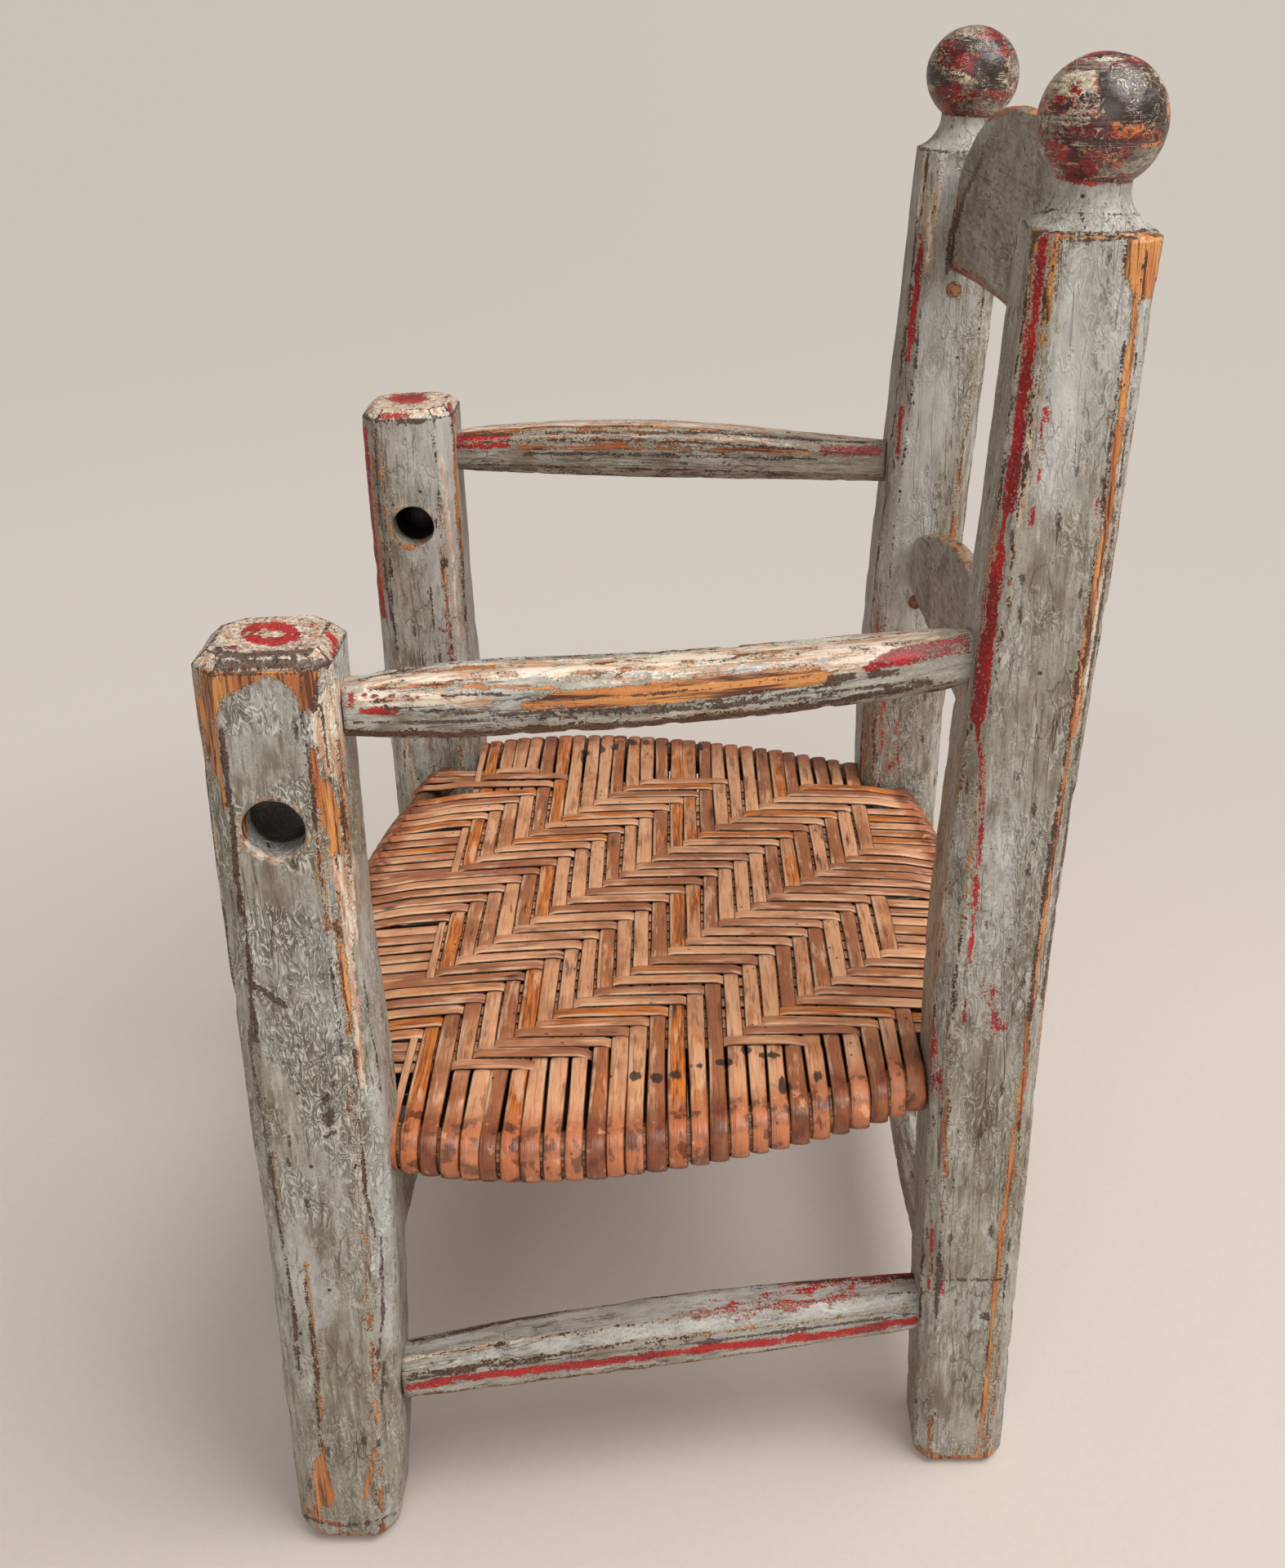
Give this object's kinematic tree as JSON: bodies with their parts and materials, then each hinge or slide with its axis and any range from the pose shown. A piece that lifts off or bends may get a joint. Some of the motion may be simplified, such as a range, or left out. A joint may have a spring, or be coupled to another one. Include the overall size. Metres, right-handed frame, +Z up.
{
  "type": "child's ladder-back armchair",
  "caption": "Small painted ladder-back armchair with heavy octagonal posts, ball finials, two slats, arms and a woven splint seat, for a child to sit on.",
  "frame": {"origin": "on the floor, at the middle of the chair's footprint box", "axes": "+Z up, -Y towards the chair's front, +X towards the sitter's left"},
  "size_m": [0.4326, 0.3448, 0.6086],
  "materials": {
    "painted_wood": "old worn and crackled grey-green paint over wood",
    "bare_wood": "bare, darkened",
    "splint": "split wood strip, aged and slightly glossy"
  },
  "bodies": {
    "root": {"front_post_left": "painted_wood", "front_post_right": "painted_wood", "back_post_left": "painted_wood", "back_post_right": "painted_wood", "upper_slat": "painted_wood", "lower_slat": "painted_wood", "arm_left": "painted_wood", "arm_right": "painted_wood", "seat_rail_front": "bare_wood", "seat_rail_back": "bare_wood", "seat_rail_left": "bare_wood", "seat_rail_right": "bare_wood", "stretcher_front": "painted_wood", "stretcher_back": "painted_wood", "stretcher_left": "painted_wood", "stretcher_right": "painted_wood", "upper_slat_peg_left": "bare_wood", "upper_slat_peg_right": "bare_wood", "lower_slat_peg_left": "bare_wood", "lower_slat_peg_right": "bare_wood", "cross_splints": "splint", "long_splints": "splint", "corner_splints": "splint"}
  },
  "joints": []
}
